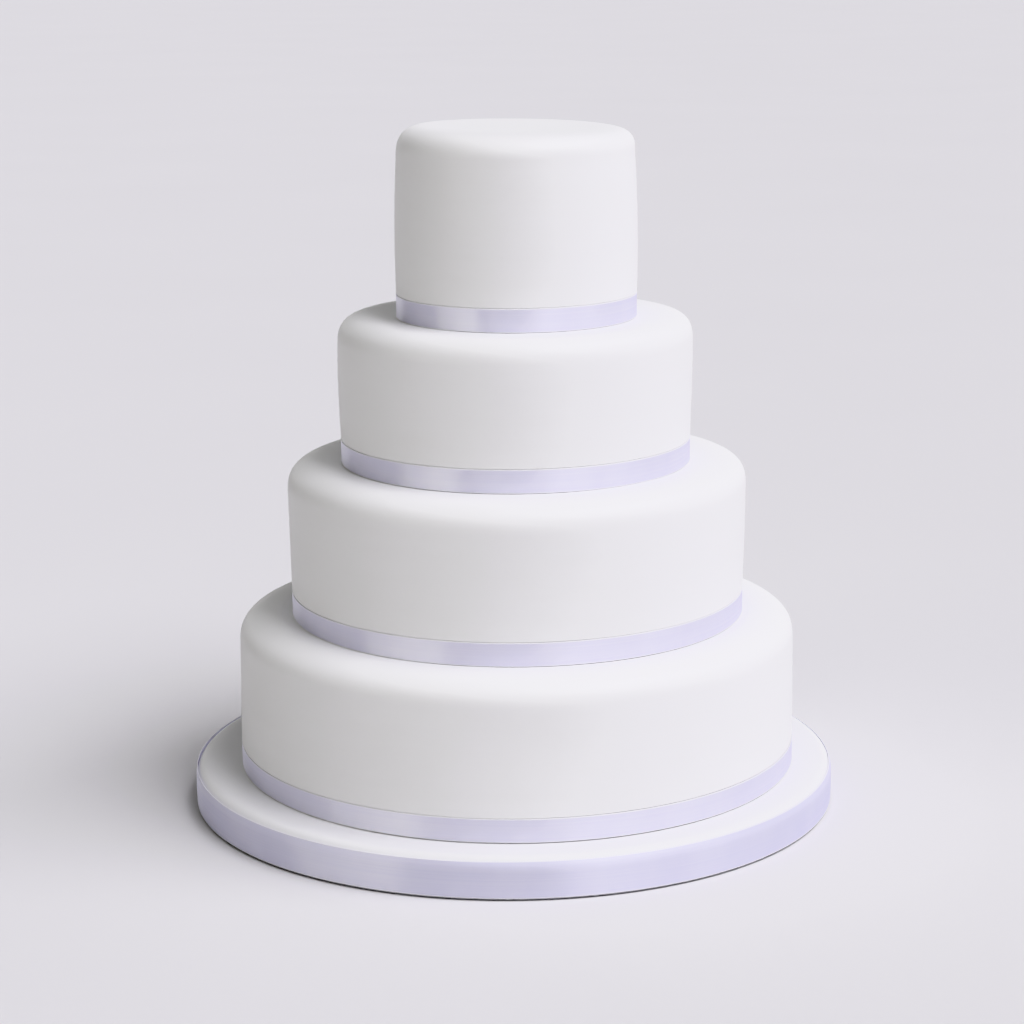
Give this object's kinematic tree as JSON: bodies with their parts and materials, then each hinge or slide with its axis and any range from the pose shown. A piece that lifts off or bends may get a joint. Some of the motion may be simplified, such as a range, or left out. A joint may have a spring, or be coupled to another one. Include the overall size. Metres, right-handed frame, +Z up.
{
  "type": "tiered wedding cake",
  "caption": "Tall round wedding cake of stacked white iced tiers with lilac satin ribbon bands, on an iced and ribboned round drum.",
  "frame": {"origin": "centre of the drum's underside, on the table", "axes": "+Z up the stack of tiers, -Y the front, away from the ribbons' joins"},
  "size_m": [0.3048, 0.3053, 0.3183],
  "materials": {
    "sugar_paste": "smoothed rolled icing, soft satin off-white",
    "drum_sugar_paste": "thin rolled icing, soft satin off-white",
    "narrow_satin_ribbon": "narrow lilac satin ribbon with woven edges",
    "wide_satin_ribbon": "wider lilac satin ribbon with woven edges",
    "foil_board": "thick card board wrapped in embossed silver foil, white paper underneath"
  },
  "bodies": {
    "root": {"drum_board": "foil_board", "drum_icing": "drum_sugar_paste", "drum_ribbon": "wide_satin_ribbon", "tier_1": "sugar_paste", "tier_1_ribbon": "narrow_satin_ribbon", "tier_2": "sugar_paste", "tier_2_ribbon": "narrow_satin_ribbon", "tier_3": "sugar_paste", "tier_3_ribbon": "narrow_satin_ribbon", "tier_4": "sugar_paste", "tier_4_ribbon": "narrow_satin_ribbon"}
  },
  "joints": []
}
